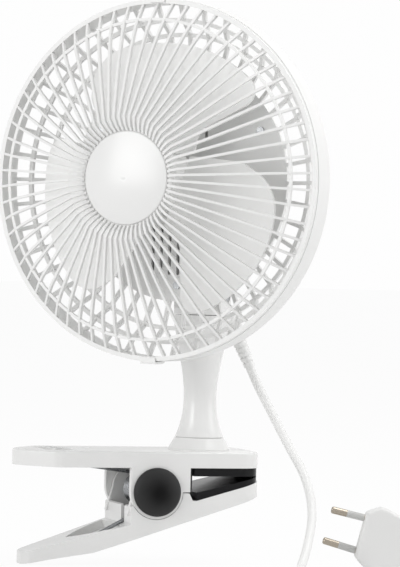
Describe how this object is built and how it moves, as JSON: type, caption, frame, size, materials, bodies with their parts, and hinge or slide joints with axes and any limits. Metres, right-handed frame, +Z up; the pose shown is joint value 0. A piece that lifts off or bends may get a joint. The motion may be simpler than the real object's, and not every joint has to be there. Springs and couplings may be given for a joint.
{
  "type": "clip fan",
  "caption": "Clip-on desk fan: round basket guard with blades and rear motor dome on a tilting, swivelling neck over a sprung clip with push buttons, flat plug on a cord.",
  "frame": {"origin": "centre of the upper gripping pad's lower face, where the clip sits on what it grips", "axes": "+Z up, out of the pad and along the neck; +X towards the clip's mouth, the handles point to -X; +Y is the remaining side, along the hinge pin"},
  "size_m": [0.2714, 0.2722, 0.3101],
  "materials": {
    "white_shell": "satin",
    "white_guard": "satin",
    "white_badge": "satin",
    "white_panel": "matt",
    "white_button": "satin",
    "black_rubber": "matt",
    "grey_rubber": "matt",
    "black_cap": "satin",
    "steel": "zinc plated",
    "spring_steel": "bright",
    "dark_plastic": "matt",
    "lamination": "matt",
    "bracket_metal": "plain",
    "bronze": "sintered",
    "copper": "enamelled wire",
    "blade_plastic": "gloss",
    "cord_sheath": "satin",
    "plug_shell": "satin",
    "sleeve_plastic": "satin",
    "pin_metal": "nickel plated"
  },
  "bodies": {
    "base": {"upper_jaw": "white_shell", "base_cover": "white_shell", "cover_screws": "steel", "upper_pad": "black_rubber", "throat_bumper": "grey_rubber", "hinge_pin": "steel", "hinge_cap_near": "black_cap", "hinge_cap_far": "black_cap", "clip_spring": "spring_steel", "button_panel": "white_panel", "switch_body": "dark_plastic", "switch_screws": "steel", "base_collar": "white_shell", "neck_shell_front": "white_shell", "neck_shell_rear": "white_shell", "neck_screws": "steel", "cord_gland": "cord_sheath", "power_cord": "cord_sheath", "cord_coil": "cord_sheath", "power_cord_tail": "cord_sheath", "plug_body": "plug_shell", "plug_relief": "plug_shell", "plug_sleeves": "sleeve_plastic", "plug_pins": "pin_metal"},
    "lower_jaw": {"lower_jaw": "white_shell", "lower_pad": "black_rubber"},
    "yoke": {"tilt_yoke": "white_shell", "swivel_ring": "steel", "tilt_bolt": "steel", "tilt_nut": "steel"},
    "head": {"motor_housing": "white_shell", "rear_grille": "white_guard", "front_grille": "white_guard", "centre_badge": "white_badge", "grille_clips": "white_guard", "housing_screws": "steel", "motor_stator": "lamination", "motor_coil": "copper", "motor_brackets": "bracket_metal", "motor_spacers": "bracket_metal", "motor_bearings": "bronze", "motor_screws": "steel"},
    "rotor": {"fan_blade": "blade_plastic", "blade_nut": "blade_plastic", "motor_shaft": "steel", "motor_rotor": "lamination"},
    "button_off": {"button_off": "white_button"},
    "button_low": {"button_low": "white_button"},
    "button_high": {"button_high": "white_button"}
  },
  "joints": [
    {"name": "clip_hinge", "type": "hinge", "parent": "base", "child": "lower_jaw", "pos_m": [-0.041, 0, -0.0087], "axis": [0, 1, 0], "range_deg": [0, 25], "stiffness_Nm_per_rad": 1.2, "springref_deg": -22.92, "deforming": ["clip_spring"]},
    {"name": "swivel", "type": "hinge", "parent": "base", "child": "yoke", "pos_m": [-0.0093, 0, 0.088], "axis": [0, 0, 1], "range_deg": [-164, 76]},
    {"name": "tilt", "type": "hinge", "parent": "yoke", "child": "head", "pos_m": [-0.0093, 0, 0.099], "axis": [0.6947, -0.7193, 0], "range_deg": [-40, 25]},
    {"name": "blade_spin", "type": "hinge", "parent": "head", "child": "rotor", "pos_m": [-0.05073, -0.04001, 0.1609], "axis": [-0.7193, -0.6947, 0], "continuous": true},
    {"name": "press_off", "type": "slide", "parent": "base", "child": "button_off", "axis": [0, 0, -1], "range_m": [0, 0.0014], "stiffness_N_per_m": 400, "springref_m": -0.0006},
    {"name": "press_low", "type": "slide", "parent": "base", "child": "button_low", "axis": [0, 0, -1], "range_m": [0, 0.0014], "stiffness_N_per_m": 400, "springref_m": -0.0006},
    {"name": "press_high", "type": "slide", "parent": "base", "child": "button_high", "axis": [0, 0, -1], "range_m": [0, 0.0014], "stiffness_N_per_m": 400, "springref_m": -0.0006}
  ]
}
